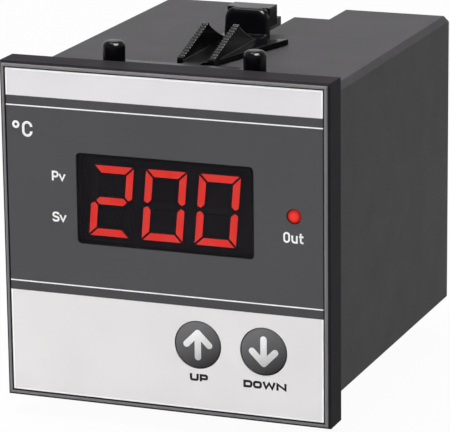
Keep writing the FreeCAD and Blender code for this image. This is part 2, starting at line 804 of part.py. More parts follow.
def build_chip():
    """The controller chip: a moulded body with a row of bent leads on each long side."""
    y = f"{DECK_Y} + chip_back"
    body = new_body("microcontroller", "chip_x", y, block_floor(MAIN_Z))
    case = plan_sketch(body, "case", "chip_standoff")
    rectangle(case, "chip_length", "chip_width")
    pad(body, case, "chip_height")
    first = "-(chip_lead_count - 1) * chip_lead_pitch / 2 - chip_lead / 2"
    leads = side_sketch(body, "leads", first)
    for side in (-1, 1):
        edge, mid = "chip_width / 2", "chip_standoff + chip_height / 2"
        bend, foot = "chip_lead_reach / 2", "chip_lead_reach"
        points = [(edge, f"{mid} - chip_lead / 2"),
                  (f"{edge} + {bend} - chip_lead", f"{mid} - chip_lead / 2"),
                  (f"{edge} + {bend} - chip_lead", "0"), (f"{edge} + {foot}", "0"),
                  (f"{edge} + {foot}", "chip_lead"), (f"{edge} + {bend}", "chip_lead"),
                  (f"{edge} + {bend}", f"{mid} + chip_lead / 2"), (edge, f"{mid} + chip_lead / 2")]
        outline(leads, [(f"{side} * ({u})", v) for u, v in points])
    one = pad(body, leads, "chip_lead")
    rows = body.newObject("PartDesign::LinearPattern", "microcontroller_rows")
    rows.Originals = [one]
    rows.Direction = (leads, ["N_Axis"])
    rows.Occurrences = count("chip_lead_count")
    bind(rows, Length="(chip_lead_count - 1) * chip_lead_pitch")
    body.Tip = rows
    return body


def way_places():
    """The middle of each terminal way, left to right."""
    for way in range(count("terminal_count")):
        yield f"({way} - (terminal_count - 1) / 2) * terminal_pitch"


def build_terminal_block(label, level):
    """A barrier strip: a solid base through the rear wall and a wall between each two ways."""
    body = new_body(label)
    comb = plan_sketch(body, "comb", block_floor(level))
    end, top = f"{BLOCK_WIDTH} / 2", f"{BLOCK_FACE_Y} + barrier_height"
    points = [(f"-{end}", BLOCK_Y), (end, BLOCK_Y), (end, top)]
    for at in reversed(list(way_places())):
        right, left = (f"{at} {sign} (terminal_pitch - barrier) / 2" for sign in "+-")
        points += [(right, top), (right, BLOCK_FACE_Y), (left, BLOCK_FACE_Y), (left, top)]
    points.append((f"-{end}", top))
    outline(comb, points)
    pad(body, comb, "block_height")
    holes = cross_sketch(body, "screw_holes", BLOCK_FACE_Y)
    for at in way_places():
        circle(holes, "screw_diameter + 2 * screw_gap", at, f"{block_floor(level)} + block_height / 2")
    pocket(body, holes, "screw_length", reverse=True)
    return body


def terminal_group(label, make_one):
    """The same small piece in every way of both blocks, as separate solids of one node."""
    solids = []
    for level in board_levels():
        up = value(f"{block_floor(level)} + block_height / 2")
        for at in way_places():
            solids.append(make_one().translated(Vector(value(at), value(BLOCK_FACE_Y), up)))
    group = doc.addObject("Part::Feature", label)
    group.Shape = Part.makeCompound(solids)
    return group


def plate_with_hole(width, tall, thick, start):
    """A plate with a screw hole, its back at start from the block's face."""
    plate = Part.makeBox(width, thick, tall, Vector(-width / 2, start, -tall / 2))
    hole = value("screw_diameter / 2 + screw_gap")
    return plate.cut(Part.makeCylinder(hole, thick, Vector(0, start, 0), Y_AXIS))


def one_contact():
    width = value("terminal_pitch - barrier - 2 * contact_gap")
    tall = value("block_height - 2 * contact_gap")
    return plate_with_hole(width, tall, value("contact_thickness"), 0)


def one_washer():
    size = value("washer_size")
    return plate_with_hole(size, size, value("washer_thickness"), value("contact_thickness"))


def one_screw():
    """A slotted screw whose head rests on the washer."""
    seat, tall = value("contact_thickness + washer_thickness"), value("screw_head_height")
    wide, shank, length = value("screw_head"), value("screw_diameter / 2"), value("screw_length")
    head = Part.makeCylinder(wide / 2, tall, Vector(0, seat, 0), Y_AXIS)
    stem = Part.makeCylinder(shank, length, Vector(0, seat - length, 0), Y_AXIS)
    slot, slot_depth = value("screw_slot"), value("screw_slot_depth")
    groove = Part.makeBox(wide, slot_depth, slot, Vector(-wide / 2, seat + tall - slot_depth, -slot / 2))
    return head.fuse(stem).cut(groove).removeSplitter()


def build_clamp(label, turn, y, z):
    """A sliding mounting clamp in its own frame: y from the pegs' front, z from the case wall.
    Two domed pegs press on the panel; two toothed fins, swept wings and a hooked thumb tab
    follow behind, and a foot under the wall slides in the slot."""
    body = new_body(label, "0", y, z)
    body.Placement.Rotation = Rotation(Y_AXIS, turn)
    under, deck = "clamp_lift", "(clamp_lift + clamp_plate)"
    peg_y = "(peg_diameter / 2)"

    bar = plan_sketch(body, "crossbar", under)
    span(bar, "-peg_spacing / 2", "peg_spacing / 2",
         f"{peg_y} + peg_diameter / 2 - crossbar / 2", f"{peg_y} + peg_diameter / 2 + crossbar / 2")
    pad(body, bar, "clamp_plate")
    pegs = plan_sketch(body, "pegs", under)
    for side in (-1, 1):
        circle(pegs, "peg_diameter", f"{side} * peg_spacing / 2", peg_y)
    pad(body, pegs, "peg_height - clamp_lift")
    dress(body, "Fillet", lambda e: near(middle(e).z, "peg_height"), Radius="peg_round")

    plate = plan_sketch(body, "plate", under)
    neck, rail = "bridge_width / 2", "(fin_spacing + fin_thickness) / 2"
    tail, shoulder = "tail_width / 2", "shoulder_width / 2"
    root_y = "(shoulder_start + shoulder_length)"
    tip_y = f"({root_y} + wing_length)"
    right = [(neck, "peg_diameter"), (neck, "fin_start"), (rail, "fin_start"),
             (rail, "shoulder_start"), (shoulder, root_y), (f"{shoulder} + wing_splay", tip_y),
             (tail, f"{tip_y} - wing_sweep"), (tail, "tab_start + tab_thickness")]
    outline(plate, right + [(f"-({u})", v) for u, v in reversed(right)])
    pad(body, plate, "clamp_plate")

    teeth = count("fin_tooth_count")
    low = f"{deck} + fin_toe"
    ramp = [("fin_start", deck)]
    for notch in range(teeth):
        for part, lift in (("tooth_lead", "fin_tooth"), ("(1 - tooth_lead)", "0")):
            share = f"({notch} + {part}) / {teeth}"
            ramp.append((f"fin_start + fin_ramp * {share}",
                         f"{low} + (fin_height - {low}) * {share} + {lift}"))
    apex = ("fin_start + fin_ramp", "fin_height")
    heel = ("fin_start + fin_ramp + fin_back", deck)
    for name, side in (("left", -1), ("right", 1)):
        fin = side_sketch(body, f"{name}_fin", f"{side} * fin_spacing / 2")
        outline(fin, ramp + [apex, heel], {len(ramp): ("fin_hollow", 1)})
        pad(body, fin, "fin_thickness", both_ways=True)

    tab = side_sketch(body, "tab", "0")
    back = "(tab_start + tab_thickness)"
    chin = "(tab_height - tab_hook_height)"
    span(tab, "tab_start", back, under, "tab_height")
    pad(body, tab, "tail_width", both_ways=True)

    def tab_corners(e):
        return runs_along(e, Y_AXIS) and near(middle(e).z, "tab_height")

    dress(body, "Fillet", tab_corners, Radius="tab_round")
    hook = side_sketch(body, "hook", "0")
    span(hook, back, f"{back} + tab_hook", chin, "tab_height")
    pad(body, hook, "tail_width", both_ways=True)

    slide = plan_sketch(body, "neck", "-housing_wall - foot_gap")
    half = "slot_width / 2 - key_neck_gap"
    span(slide, f"-({half})", half, "fin_start", "fin_start + neck_length")
    pad(body, slide, f"housing_wall + foot_gap + {under}")
    foot = plan_sketch(body, "foot", "-housing_wall - foot_gap")
    rest = "(fin_start + (neck_length - foot_length) / 2)"
    span(foot, "-foot_width / 2", "foot_width / 2", rest, f"{rest} + foot_length")
    pad(body, foot, "foot_thickness", reverse=True)
    return body


pieces = [
    build_housing(),
    build_bezel(),
    build_label(),
    build_lens(),
    *build_display(),
    build_led(),
    *build_key("up", "up_x"),
    *build_key("down", "down_x"),
    *build_boards(),
    build_header("main_header", MAIN_Z),
    build_header("power_header", POWER_Z),
    *build_transformer(),
    build_relay(),
    build_capacitor(),
    build_chip(),
    build_terminal_block("upper_terminal_block", MAIN_Z),
    build_terminal_block("lower_terminal_block", POWER_Z),
    terminal_group("terminal_contacts", one_contact),
    terminal_group("terminal_washers", one_washer),
    terminal_group("terminal_screws", one_screw),
    build_clamp("top_clamp", 0, "panel_gap", "housing_height / 2"),
    build_clamp("bottom_clamp", 180, "panel_gap + lower_clamp_back", "-housing_height / 2"),
]
doc.recompute()

for thing in doc.Objects:
    if {"Invalid", "Error"} & set(thing.State):
        raise ValueError(f"{thing.Label} failed to build")
for piece in pieces:
    if piece.Shape.isNull() or not piece.Shape.isValid():
        raise ValueError(f"{piece.Label} has no valid shape")

os.makedirs("parts", exist_ok=True)
for piece in pieces:
    piece.Shape.exportStep(f"parts/{piece.Label}.step")
    print(piece.Label, len(piece.Shape.Solids), round(piece.Shape.Volume, 1))
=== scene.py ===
import bmesh
import bpy
import math
from mathutils import Matrix, Vector


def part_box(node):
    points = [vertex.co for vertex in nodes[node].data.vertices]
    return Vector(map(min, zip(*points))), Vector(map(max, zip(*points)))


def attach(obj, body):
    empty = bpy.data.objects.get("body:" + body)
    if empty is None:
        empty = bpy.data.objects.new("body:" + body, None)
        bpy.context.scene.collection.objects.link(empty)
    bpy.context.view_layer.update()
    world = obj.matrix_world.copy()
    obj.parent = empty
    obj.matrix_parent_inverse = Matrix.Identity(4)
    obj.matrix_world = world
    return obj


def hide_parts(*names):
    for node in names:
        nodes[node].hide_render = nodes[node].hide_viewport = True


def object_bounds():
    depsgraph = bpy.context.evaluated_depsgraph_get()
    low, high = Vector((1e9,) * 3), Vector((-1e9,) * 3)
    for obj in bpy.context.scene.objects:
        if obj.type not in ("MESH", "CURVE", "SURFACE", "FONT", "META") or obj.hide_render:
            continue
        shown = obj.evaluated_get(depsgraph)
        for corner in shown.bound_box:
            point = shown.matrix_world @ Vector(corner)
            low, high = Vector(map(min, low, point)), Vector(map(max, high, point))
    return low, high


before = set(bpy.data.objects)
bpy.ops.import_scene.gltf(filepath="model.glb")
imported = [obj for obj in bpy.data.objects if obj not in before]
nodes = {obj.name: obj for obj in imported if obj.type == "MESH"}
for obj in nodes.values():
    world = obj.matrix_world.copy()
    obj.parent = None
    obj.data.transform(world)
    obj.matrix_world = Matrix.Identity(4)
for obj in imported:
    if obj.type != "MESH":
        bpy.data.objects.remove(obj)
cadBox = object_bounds()
mm = 0.001
noiseSpan = {"From Min": 0.3, "From Max": 0.7}  # most of a noise pattern's values lie in this range
wideLevels = (0.3, 0.7)  # soft change between two tones
evenLevels = (0.35, 0.65)  # firmer change
print("frame loaded:", len(nodes), "nodes")


# sRGB hex to the linear values that the shaders take
def linear(hexText):
    channels = [int(hexText[i:i + 2], 16) / 255 for i in (1, 3, 5)]
    bent = [c / 12.92 if c <= 0.04045 else ((c + 0.055) / 1.055) ** 2.4 for c in channels]
    return (*bent, 1.0)


# adds a node with its settings; an input that is a socket is linked, any other is set
def addNode(tree, kind, inputs=None, **settings):
    node = tree.nodes.new("ShaderNode" + kind)
    for name, setting in settings.items():
        setattr(node, name, setting)
    for name, given in (inputs or {}).items():
        if isinstance(given, bpy.types.NodeSocket):
            tree.links.new(given, node.inputs[name])
        else:
            node.inputs[name].default_value = given
    return node


# an empty material with its shader; returns material, tree, shader and object coordinates
def startMaterial(name):
    material = bpy.data.materials.new(name)
    material.use_nodes = True
    tree = material.node_tree
    tree.nodes.clear()
    shader = addNode(tree, "BsdfPrincipled")
    addNode(tree, "OutputMaterial", {"Surface": shader.outputs["BSDF"]})
    place = addNode(tree, "TexCoord").outputs["Object"]
    return material, tree, shader, place


def setShader(shader, **values):
    for name, given in values.items():
        shader.inputs[name.replace("_", " ")].default_value = given


# sets a ramp's steps: a tone in hex for each level
def colourSteps(ramp, levels, tones, interpolation="LINEAR"):
    ramp.color_ramp.interpolation = interpolation
    elements = ramp.color_ramp.elements
    while len(elements) < len(levels):
        elements.new(1.0)
    for element, level, tone in zip(elements, levels, tones):
        element.position = level
        element.color = linear(tone)


# colour that wanders between two tones, in patches of a given size
def mottledColour(tree, place, patchMm, detail, levels, tones):
    cloud = addNode(tree, "TexNoise", {"Vector": place, "Scale": 1 / (patchMm * mm), "Detail": detail})
    ramp = addNode(tree, "ValToRGB", {"Fac": cloud.outputs["Fac"]})
    colourSteps(ramp, levels, tones)
    return ramp.outputs["Color"]


# a mesh as an object in the scene
def meshObject(name, mesh):
    data = bpy.data.meshes.new(name)
    mesh.to_mesh(data)
    mesh.free()
    made = bpy.data.objects.new(name, data)
    bpy.context.scene.collection.objects.link(made)
    return made


# how far out a point of the front is, measured square: the larger of its two distances from the middle
def squareReach(tree, place):
    axes = addNode(tree, "SeparateXYZ", {"Vector": place})
    across = addNode(tree, "Math", {0: axes.outputs["X"]}, operation="ABSOLUTE")
    upright = addNode(tree, "Math", {0: axes.outputs["Z"]}, operation="ABSOLUTE")
    reach = addNode(tree, "Math", {0: across.outputs[0], 1: upright.outputs[0]}, operation="MAXIMUM")
    return reach.outputs[0]


# 1 on the faces that look to the front, which is -Y, and 0 on all others
def facesFront(tree):
    frontLimit = -0.5
    facing = addNode(tree, "SeparateXYZ", {"Vector": addNode(tree, "TexCoord").outputs["Normal"]})
    return addNode(tree, "Math", {0: facing.outputs["Y"], 1: frontLimit}, operation="LESS_THAN").outputs[0]


# one moulded finish: a mottled colour, a grain and softly rounded edges that catch the light; where a lip is
# given, a painted highlight on its front faces
def mouldedPlastic(name, look):
    material, tree, shader, place = startMaterial(name)
    mottleAndPaintedHighlight = mottledColour(tree, place, look["mottleMm"], 3.0, evenLevels, (look["shade"], look["colour"]))
    # painted highlight: the band round the film takes a paler colour on its front faces, standing in for the
    # light that it catches
    if "lip" in look:
        inner, outer = (reach * mm for reach in look["lip"])
        lipHighlightBand = addNode(tree, "Math", {0: squareReach(tree, place), 1: (inner + outer) / 2,
                                       2: (outer - inner) / 2}, operation="COMPARE")
        both = addNode(tree, "Math", {0: lipHighlightBand.outputs[0], 1: facesFront(tree)}, operation="MULTIPLY")
        mottleAndPaintedHighlight = addNode(tree, "Mix", {"Factor": both.outputs[0], 6: mottleAndPaintedHighlight, 7: linear(look["lipHighlightColour"])},
                       data_type="RGBA").outputs[2]
    tree.links.new(mottleAndPaintedHighlight, shader.inputs["Base Color"])
    grain = addNode(tree, "TexNoise", {"Vector": place, "Scale": 1 / (look["grainMm"] * mm),
                                       "Detail": 2.0, "Roughness": 0.6})
    gloss = addNode(tree, "MapRange", {"Value": grain.outputs["Fac"], **noiseSpan,
                                       "To Min": look["rough"] - look["roughPlay"],
                                       "To Max": look["rough"] + look["roughPlay"]})
    tree.links.new(gloss.outputs["Result"], shader.inputs["Roughness"])
    rounded = addNode(tree, "Bevel", {"Radius": look["edgeMm"] * mm}, samples=6)
    bump = addNode(tree, "Bump", {"Height": grain.outputs["Fac"], "Distance": look["grainDepthMm"] * mm,
                                  "Strength": look["grainStrength"],
                                  "Normal": rounded.outputs["Normal"]})
    tree.links.new(bump.outputs["Normal"], shader.inputs["Normal"])
    setShader(shader, IOR=plasticIor, Specular_IOR_Level=look["specular"])
    return material


plasticIor = 1.53
# sizes in mm; the grain is drawn several times coarser than the real one, so that it shows, and the specular
# levels are low because the real plastics hardly mirror the white room
plastics = {
    # ABS from a spark-eroded tool: a matt dark grey whose fine grain softens every reflection
    "mouldedAbsCase": {"colour": "#4b494b", "shade": "#474547", "mottleMm": 9, "rough": 0.52,
                       "roughPlay": 0.06, "grainMm": 0.55, "grainDepthMm": 0.02, "grainStrength": 0.35,
                       "edgeMm": 0.3, "specular": 0.03},
    # black ABS, finer tool: satin, nearly black faces; the lip round the film carries a painted highlight, a
    # paler grey on its front faces
    "mouldedAbsFrame": {"colour": "#2a282b", "shade": "#262427", "mottleMm": 7, "rough": 0.5,
                        "roughPlay": 0.05, "grainMm": 0.45, "grainDepthMm": 0.012, "grainStrength": 0.3,
                        "edgeMm": 0.25, "specular": 0.01, "lip": (34.92, 35.55), "lipHighlightColour": "#7d7b7e"},
    # nylon straight from a polished tool: deep black with hard white highlights
    "mouldedNylonClamp": {"colour": "#0d0b0e", "shade": "#0a080b", "mottleMm": 6, "rough": 0.18,
                          "roughPlay": 0.04, "grainMm": 1.2, "grainDepthMm": 0.01, "grainStrength": 0.2,
                          "edgeMm": 0.35, "specular": 0.065},
    # glass-filled PBT strip: matt black, slightly grey where the fibres reach the skin
    "mouldedPbtTerminals": {"colour": "#232224", "shade": "#1c1b1d", "mottleMm": 2.2, "rough": 0.5,
                            "roughPlay": 0.08, "grainMm": 0.4, "grainDepthMm": 0.015,
                            "grainStrength": 0.35, "edgeMm": 0.25, "specular": 0.12},
    # black potting resin round the digits: flat and matt, so the red stands out
    "castResinModule": {"colour": "#26252a", "shade": "#212025", "mottleMm": 5, "rough": 0.6,
                        "roughPlay": 0.05, "grainMm": 0.5, "grainDepthMm": 0.01, "grainStrength": 0.2,
                        "edgeMm": 0.1, "specular": 0.1},
    # unlit light pipes: smoky red-grey, just told from the resin
    "castResinUnlit": {"colour": "#474144", "shade": "#423c3f", "mottleMm": 3, "rough": 0.4,
                       "roughPlay": 0.05, "grainMm": 0.6, "grainDepthMm": 0.005, "grainStrength": 0.2,
                       "edgeMm": 0.1, "specular": 0.2},
    # nylon switch bodies, chip and pin strips: plain matt black
    "mouldedNylonSmall": {"colour": "#1f1e20", "shade": "#19181a", "mottleMm": 2, "rough": 0.5,
                          "roughPlay": 0.06, "grainMm": 0.3, "grainDepthMm": 0.01, "grainStrength": 0.3,
                          "edgeMm": 0.1, "specular": 0.35},
    # acetal plungers: waxy off-white
    "mouldedAcetalPlunger": {"colour": "#dad8d2", "shade": "#d2d0c8", "mottleMm": 3, "rough": 0.42,
                             "roughPlay": 0.04, "grainMm": 0.4, "grainDepthMm": 0.005,
                             "grainStrength": 0.2, "edgeMm": 0.1, "specular": 0.4},
    # relay case, PBT: smooth dark blue with a low sheen
    "mouldedPbtRelay": {"colour": "#263c68", "shade": "#21355d", "mottleMm": 8, "rough": 0.34,
                        "roughPlay": 0.04, "grainMm": 0.7, "grainDepthMm": 0.01, "grainStrength": 0.2,
                        "edgeMm": 0.3, "specular": 0.45},
}
finish = {name: mouldedPlastic(name, look) for name, look in plastics.items()}
print("moulded finishes:", len(finish))


# the label's print, from the bottom up: field's top in mm, colour; the velvet grain is drawn coarser than
# the real one, so that it shows
labelPrint = {
    "height": 69.2,
    "fields": [(-12.87, "#e8e6e6"), (-11.07, "#4e4d4f"), (-10.72, "#fbfbfb"), (26.6, "#535255"),
               (26.95, "#fbfbfb"), (28.72, "#504f51"), (34.6, "#e8e5e8")],
    "border": 0.35, "borderColour": "#fcfcfc", "paleFrom": 0.5, "cloudMm": 18,
    "cloudShades": (0.965, 1.02), "grainMm": 0.5, "grainDepthMm": 0.006, "grainStrength": 0.3,
    "rough": 0.6, "specular": 0.015,
}


# polycarbonate film, screen printed from behind and velvet textured: even matt fields, crisp edges
def printedFilm(look):
    material, tree, shader, place = startMaterial("printedPolycarbonateFilm")
    axes = addNode(tree, "SeparateXYZ", {"Vector": place})
    half = look["height"] / 2
    up = addNode(tree, "MapRange", {"Value": axes.outputs["Z"], "From Min": -half * mm,
                                    "From Max": half * mm})
    ramp = addNode(tree, "ValToRGB", {"Fac": up.outputs["Result"]})
    levels, low = [], -half
    for top, _ in look["fields"]:
        levels.append((low + half) / look["height"])
        low = top
    colourSteps(ramp, levels, [colour for _, colour in look["fields"]], "CONSTANT")
    atEdge = addNode(tree, "Math", {0: squareReach(tree, place), 1: (half - look["border"]) * mm},
                     operation="GREATER_THAN")
    paleField = addNode(tree, "RGBToBW", {"Color": ramp.outputs["Color"]})
    isPale = addNode(tree, "Math", {0: paleField.outputs[0], 1: look["paleFrom"]}, operation="GREATER_THAN")
    both = addNode(tree, "Math", {0: atEdge.outputs[0], 1: isPale.outputs[0]}, operation="MULTIPLY")
    bordered = addNode(tree, "Mix", {"Factor": both.outputs[0], 6: ramp.outputs["Color"],
                                     7: linear(look["borderColour"])}, data_type="RGBA")
    cloud = addNode(tree, "TexNoise", {"Vector": place, "Scale": 1 / (look["cloudMm"] * mm), "Detail": 2.0})
    dark, light = look["cloudShades"]
    shade = addNode(tree, "MapRange", {"Value": cloud.outputs["Fac"], **noiseSpan, "To Min": dark,
                                       "To Max": light})
    inked = addNode(tree, "Mix", {"Factor": 1.0, 6: bordered.outputs[2], 7: shade.outputs["Result"]},
                    data_type="RGBA", blend_type="MULTIPLY")
    tree.links.new(inked.outputs[2], shader.inputs["Base Color"])
    velvet = addNode(tree, "TexNoise", {"Vector": place, "Scale": 1 / (look["grainMm"] * mm),
                                        "Detail": 2.0})
    bump = addNode(tree, "Bump", {"Height": velvet.outputs["Fac"], "Distance": look["grainDepthMm"] * mm,
                                  "Strength": look["grainStrength"]})
    tree.links.new(bump.outputs["Normal"], shader.inputs["Normal"])
    setShader(shader, Roughness=look["rough"], Specular_IOR_Level=look["specular"])
    return material


windowLook = {"colour": "#232125", "shade": "#1e1c20", "mottleMm": 14, "rough": 0.12, "ior": 1.49,
              "specular": 0.035, "cover": 0.6}


# smoked acrylic, polished: darkens what is behind it and mirrors a little of the room
def smokedWindow(look):
    material, tree, shader, place = startMaterial("smokedAcrylicWindow")
    smoke = mottledColour(tree, place, look["mottleMm"], 1.0, wideLevels, (look["shade"], look["colour"]))
    tree.links.new(smoke, shader.inputs["Base Color"])
    setShader(shader, Roughness=look["rough"], IOR=look["ior"], Specular_IOR_Level=look["specular"],
              Alpha=look["cover"])
    return material


litLook = {"colour": "#f8352b", "core": "#fb4136", "resin": "#4a0d0b", "rough": 0.35, "strength": 4.5,
           "spotMm": 3.0, "spotLevels": (0.35, 0.7)}


# lit epoxy light pipes: an even glow, a shade paler where the chip sits behind
def litSegments(look):
    material, tree, shader, place = startMaterial("litEpoxySegments")
    tones = (look["colour"], look["core"])
    glow = mottledColour(tree, place, look["spotMm"], 1.0, look["spotLevels"], tones)
    tree.links.new(glow, shader.inputs["Emission Color"])
    # the pipes' sides stay dark, as the walls of their cells are opaque
    power = addNode(tree, "Math", {0: facesFront(tree), 1: look["strength"]}, operation="MULTIPLY")
    tree.links.new(power.outputs[0], shader.inputs["Emission Strength"])
    setShader(shader, Base_Color=linear(look["resin"]), Roughness=look["rough"])
    return material


lampLook = {"rim": "#7a1611", "core": "#fb4136", "resin": "#6a0f0c", "strength": 0.76, "rough": 0.45,
            "specular": 0.03, "radius": 1.45, "levels": (0.45, 0.95)}


# tinted epoxy lamp, lit: brightest at the middle of its dome, deeper red at the rim
def litLamp(look):
    material, tree, shader, place = startMaterial("litEpoxyLamp")
    lampLow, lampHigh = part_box("output_led")
    middle = (lampLow + lampHigh) / 2
    moved = addNode(tree, "Mapping", {"Vector": place, "Location": (-middle.x, 0, -middle.z)})
    flat = addNode(tree, "VectorMath", {0: moved.outputs["Vector"], 1: (1, 0, 1)}, operation="MULTIPLY")
    radius = addNode(tree, "VectorMath", {0: flat.outputs["Vector"]}, operation="LENGTH")
    share = addNode(tree, "MapRange", {"Value": radius.outputs["Value"], "From Max": look["radius"] * mm})
    glow = addNode(tree, "ValToRGB", {"Fac": share.outputs["Result"]})
    colourSteps(glow, look["levels"], (look["core"], look["rim"]))
    tree.links.new(glow.outputs["Color"], shader.inputs["Emission Color"])
    setShader(shader, Base_Color=linear(look["resin"]), Roughness=look["rough"],
              Specular_IOR_Level=look["specular"], Emission_Strength=look["strength"])
    return material


# key print: the tones at the upper left and lower right, the fade's slant and its ends in shares of the key
keyLook = {"tones": {"printedKeyFace": ("#7b7a7c", "#262527"), "printedArrowInk": ("#ffffff", "#b9b8ba")},
           "slant": -0.45, "fadeFrom": -0.3, "fadeTo": 0.85, "speckleMm": 0.5,
           "speckleShades": (0.96, 1.03), "rough": 0.5, "specular": 0.015}


# screen-printed ABS key: grey ink that fades from a lighter upper left to a deep lower right
def printedKey(name, look):
    upper, lower = look["tones"][name]
    material, tree, shader, place = startMaterial(name)
    share = addNode(tree, "TexCoord").outputs["Generated"]
    axes = addNode(tree, "SeparateXYZ", {"Vector": share})
    slope = addNode(tree, "Math", {0: axes.outputs["X"], 1: look["slant"], 2: axes.outputs["Z"]},
                    operation="MULTIPLY_ADD")
    fade = addNode(tree, "MapRange", {"Value": slope.outputs[0], "From Min": look["fadeFrom"],
                                      "From Max": look["fadeTo"]})
    tone = addNode(tree, "ValToRGB", {"Fac": fade.outputs["Result"]})
    colourSteps(tone, (0.0, 1.0), (lower, upper))
    speckle = addNode(tree, "TexNoise", {"Vector": place, "Scale": 1 / (look["speckleMm"] * mm),
                                         "Detail": 2.0})
    dark, light = look["speckleShades"]
    shade = addNode(tree, "MapRange", {"Value": speckle.outputs["Fac"], **noiseSpan, "To Min": dark,
                                       "To Max": light})
    inked = addNode(tree, "Mix", {"Factor": 1.0, 6: tone.outputs["Color"], 7: shade.outputs["Result"]},
                    data_type="RGBA", blend_type="MULTIPLY")
    tree.links.new(inked.outputs[2], shader.inputs["Base Color"])
    setShader(shader, Roughness=look["rough"], Specular_IOR_Level=look["specular"])
    return material


inkLook = {"tones": {"whiteScreenInk": ("#f1f1f1", "#fbfbfb"), "darkScreenInk": ("#222125", "#29282c")},
           "mottleMm": 0.8, "rough": 0.55, "specular": 0.05, "thick": 0.02}


# screen ink on the film: solid colour with the faint mottle of a printed layer
def screenInk(name, look):
    material, tree, shader, place = startMaterial(name)
    tone = mottledColour(tree, place, look["mottleMm"], 2.0, evenLevels, look["tones"][name])
    tree.links.new(tone, shader.inputs["Base Color"])
    setShader(shader, Roughness=look["rough"], Specular_IOR_Level=look["specular"])
    return material


metals = {
    # nickel-plated steel, tumbled: bright, its reflections softened by fine scratches
    "nickelPlatedSteel": {"colour": "#c4c3c1", "shade": "#b9b8b6", "rough": 0.28, "scratchMm": 0.5},
    # zinc-plated steel, pressed: a duller blue-grey than the screws that lie on it
    "zincPlatedSteel": {"colour": "#8f9297", "shade": "#84878c", "rough": 0.42, "scratchMm": 0.6},
    # tinned brass sheet, rolled: duller than the screws, with a warm cast
    "tinnedBrassSheet": {"colour": "#b3a88f", "shade": "#a0957c", "rough": 0.4, "scratchMm": 0.7},
}
# their scratches run upright and are drawn coarser than real ones, so that they show
metalWear = {"stretch": (1.0, 1.0, 0.12), "roughPlay": 0.05, "edgeMm": 0.1, "depthMm": 0.002,
             "strength": 0.1}


def brightMetal(name, look, wear):
    material, tree, shader, place = startMaterial(name)
    stretched = addNode(tree, "Mapping", {"Vector": place, "Scale": wear["stretch"]})
    scratches = addNode(tree, "TexNoise", {"Vector": stretched.outputs["Vector"],
                                           "Scale": 1 / (look["scratchMm"] * mm), "Detail": 3.0})
    tone = addNode(tree, "ValToRGB", {"Fac": scratches.outputs["Fac"]})
    colourSteps(tone, wideLevels, (look["shade"], look["colour"]))
    tree.links.new(tone.outputs["Color"], shader.inputs["Base Color"])
    gloss = addNode(tree, "MapRange", {"Value": scratches.outputs["Fac"], **noiseSpan,
                                       "To Min": look["rough"] - wear["roughPlay"],
                                       "To Max": look["rough"] + wear["roughPlay"]})
    tree.links.new(gloss.outputs["Result"], shader.inputs["Roughness"])
    rounded = addNode(tree, "Bevel", {"Radius": wear["edgeMm"] * mm}, samples=6)
    bump = addNode(tree, "Bump", {"Height": scratches.outputs["Fac"], "Distance": wear["depthMm"] * mm,
                                  "Strength": wear["strength"], "Normal": rounded.outputs["Normal"]})
    tree.links.new(bump.outputs["Normal"], shader.inputs["Normal"])
    setShader(shader, Metallic=1.0)
    return material


# layered parts: stripes across one axis, such as core sheets, wound tape or a printed sleeve
layered = {
    # silicon steel sheets, stacked and varnished: fine dark lines between grey edges
    "stackedCoreSteel": {"light": "#7d7c79", "dark": "#3c3b3a", "pitchMm": 0.5, "axis": "Y",
                         "rough": 0.45, "metallic": 0.8},
    # enamelled wire under clear tape: copper bands with dark gaps between the turns
    "woundCopperWire": {"light": "#b06a35", "dark": "#6b3a1a", "pitchMm": 0.6, "axis": "Z",
                        "rough": 0.35, "metallic": 0.6},
    # shrink sleeve on an aluminium can: dark blue-black with faint rings
    "sleevedAluminiumCan": {"light": "#2a2b33", "dark": "#22232a", "pitchMm": 1.6, "axis": "Z",
                            "rough": 0.35, "metallic": 0.0},
}
layerRelief = {"levels": (0.15, 0.5), "unevenness": 0.4, "depthMm": 0.05, "strength": 0.5}


def layeredPart(name, look, relief):
    material, tree, shader, place = startMaterial(name)
    bandScale = math.tau / (20 * look["pitchMm"] * mm)  # at scale 1 a band is tau / 20 wide
    wave = addNode(tree, "TexWave", {"Vector": place, "Scale": bandScale,
                                     "Distortion": relief["unevenness"], "Detail": 1.0},
                   wave_type="BANDS", bands_direction=look["axis"])
    tone = addNode(tree, "ValToRGB", {"Fac": wave.outputs["Fac"]})
    colourSteps(tone, relief["levels"], (look["dark"], look["light"]))
    tree.links.new(tone.outputs["Color"], shader.inputs["Base Color"])
    bump = addNode(tree, "Bump", {"Height": wave.outputs["Fac"], "Distance": relief["depthMm"] * mm,
                                  "Strength": relief["strength"]})
    tree.links.new(bump.outputs["Normal"], shader.inputs["Normal"])
    setShader(shader, Roughness=look["rough"], Metallic=look["metallic"])
    return material


boardLook = {"mask": "#1d5a33", "track": "#2f7a4a", "trackMm": 2.4, "levels": (0.4, 0.52),
             "reliefMm": 0.035, "reliefStrength": 0.4, "rough": 0.3, "specular": 0.5}


# glass epoxy board under green solder mask: raised tracks show paler through the lacquer
def printedBoard(look):
    material, tree, shader, place = startMaterial("maskedGlassEpoxyBoard")
    cells = addNode(tree, "TexVoronoi", {"Vector": place, "Scale": 1 / (look["trackMm"] * mm)},
                    distance="MANHATTAN", feature="F1")
    steps = addNode(tree, "ValToRGB", {"Fac": cells.outputs["Distance"]})
    colourSteps(steps, look["levels"], (look["mask"], look["track"]))
    tree.links.new(steps.outputs["Color"], shader.inputs["Base Color"])
    bump = addNode(tree, "Bump", {"Height": cells.outputs["Distance"], "Distance": look["reliefMm"] * mm,
                                  "Strength": look["reliefStrength"]})
    tree.links.new(bump.outputs["Normal"], shader.inputs["Normal"])
    setShader(shader, Roughness=look["rough"], Specular_IOR_Level=look["specular"])
    return material


